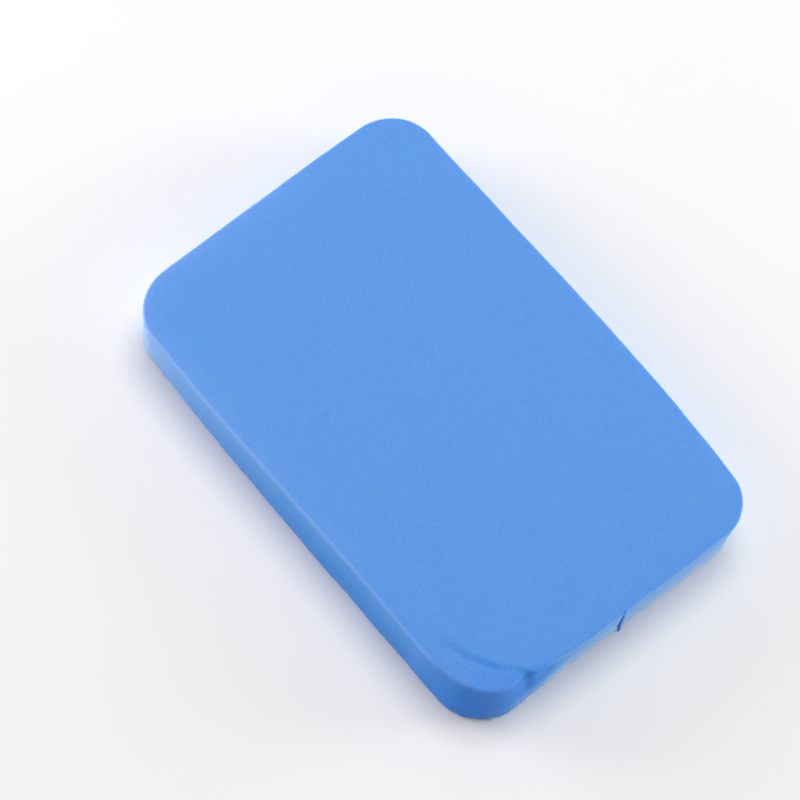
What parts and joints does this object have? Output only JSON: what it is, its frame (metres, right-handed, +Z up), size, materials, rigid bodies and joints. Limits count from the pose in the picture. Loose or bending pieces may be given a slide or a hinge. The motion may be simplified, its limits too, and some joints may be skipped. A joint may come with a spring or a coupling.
{
  "type": "detailing clay bar",
  "caption": "Flat rounded slab of soft blue detailing clay for cleaning car paint, with one squeezed corner and a small crease in its edge.",
  "frame": {"origin": "under the middle of the bar, on the flat face it rests on", "axes": "+X along the bar towards the end with the squeezed corner and the creased edge, +Y across the bar, +Z up through its thickness"},
  "size_m": [0.0934, 0.0618, 0.0107],
  "materials": {
    "clay": "smooth matt blue clay with a faint waxy sheen and a very fine grain"
  },
  "bodies": {
    "root": {"clay_bar": "clay"}
  },
  "joints": []
}
